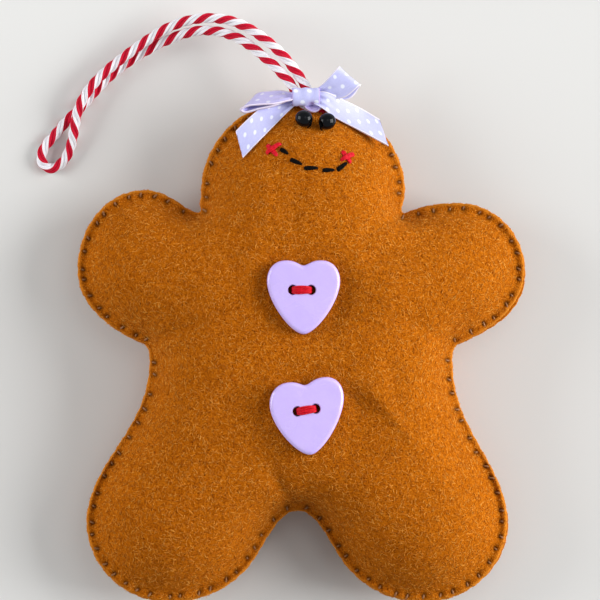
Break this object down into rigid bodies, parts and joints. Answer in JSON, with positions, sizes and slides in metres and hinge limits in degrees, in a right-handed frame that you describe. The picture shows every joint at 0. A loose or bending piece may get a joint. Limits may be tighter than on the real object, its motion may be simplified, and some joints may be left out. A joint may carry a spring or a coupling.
{
  "type": "felt christmas ornament",
  "caption": "Stuffed felt gingerbread figure with stitched edge, heart buttons, bead eyes, sewn smile, ribbon bow and a twisted cord loop to hang it by.",
  "frame": {"origin": "middle of the flat patch of back felt that the ornament rests on", "axes": "+Z out of the decorated front, +Y towards the head, +X to the right of someone looking at the front"},
  "size_m": [0.1181, 0.142, 0.0313],
  "materials": {
    "felt": "fuzzy wool felt",
    "filling": "loose polyester fibre",
    "seam_floss": "brown cotton floss",
    "red_thread": "red cotton floss",
    "black_thread": "black cotton floss",
    "button": "glossy lavender resin",
    "bead": "glossy black",
    "ribbon": "dotted lavender satin",
    "cord": "twisted red and white cotton"
  },
  "bodies": {
    "figure": {"front_felt": "felt", "back_felt": "felt", "stuffing": "filling", "seam_thread": "seam_floss", "upper_button_thread": "red_thread", "lower_button_thread": "red_thread", "left_eye_thread": "black_thread", "right_eye_thread": "black_thread", "smile_thread": "black_thread", "left_cheek_thread": "red_thread", "right_cheek_thread": "red_thread", "ribbon_bow": "ribbon", "hanger_ends": "cord"},
    "upper_button": {"upper_heart_button": "button"},
    "lower_button": {"lower_heart_button": "button"},
    "left_eye": {"left_eye_bead": "bead"},
    "right_eye": {"right_eye_bead": "bead"},
    "hanger": {"hanger_loop": "cord"}
  },
  "joints": [
    {"name": "upper_button_turn", "type": "hinge", "parent": "figure", "child": "upper_button", "pos_m": [0.0002, 0.012, 0.02685], "axis": [0, 0, 1], "range_deg": [-10, 10]},
    {"name": "lower_button_turn", "type": "hinge", "parent": "figure", "child": "lower_button", "pos_m": [0.0013, -0.0166, 0.02685], "axis": [0, 0, 1], "range_deg": [-10, 10]},
    {"name": "left_eye_spin", "type": "hinge", "parent": "figure", "child": "left_eye", "pos_m": [0.00072, 0.05295, 0.01989], "axis": [-0.8221, 0.4015, -0.4038], "continuous": true},
    {"name": "right_eye_spin", "type": "hinge", "parent": "figure", "child": "right_eye", "pos_m": [0.00625, 0.0523, 0.01974], "axis": [0.7524, 0.3442, -0.5616], "continuous": true},
    {"name": "hanger_lift", "type": "hinge", "parent": "figure", "child": "hanger", "pos_m": [-0.00066, 0.0636, 0.01305], "axis": [0.8419, 0.5397, 0], "range_deg": [0, 90]}
  ]
}
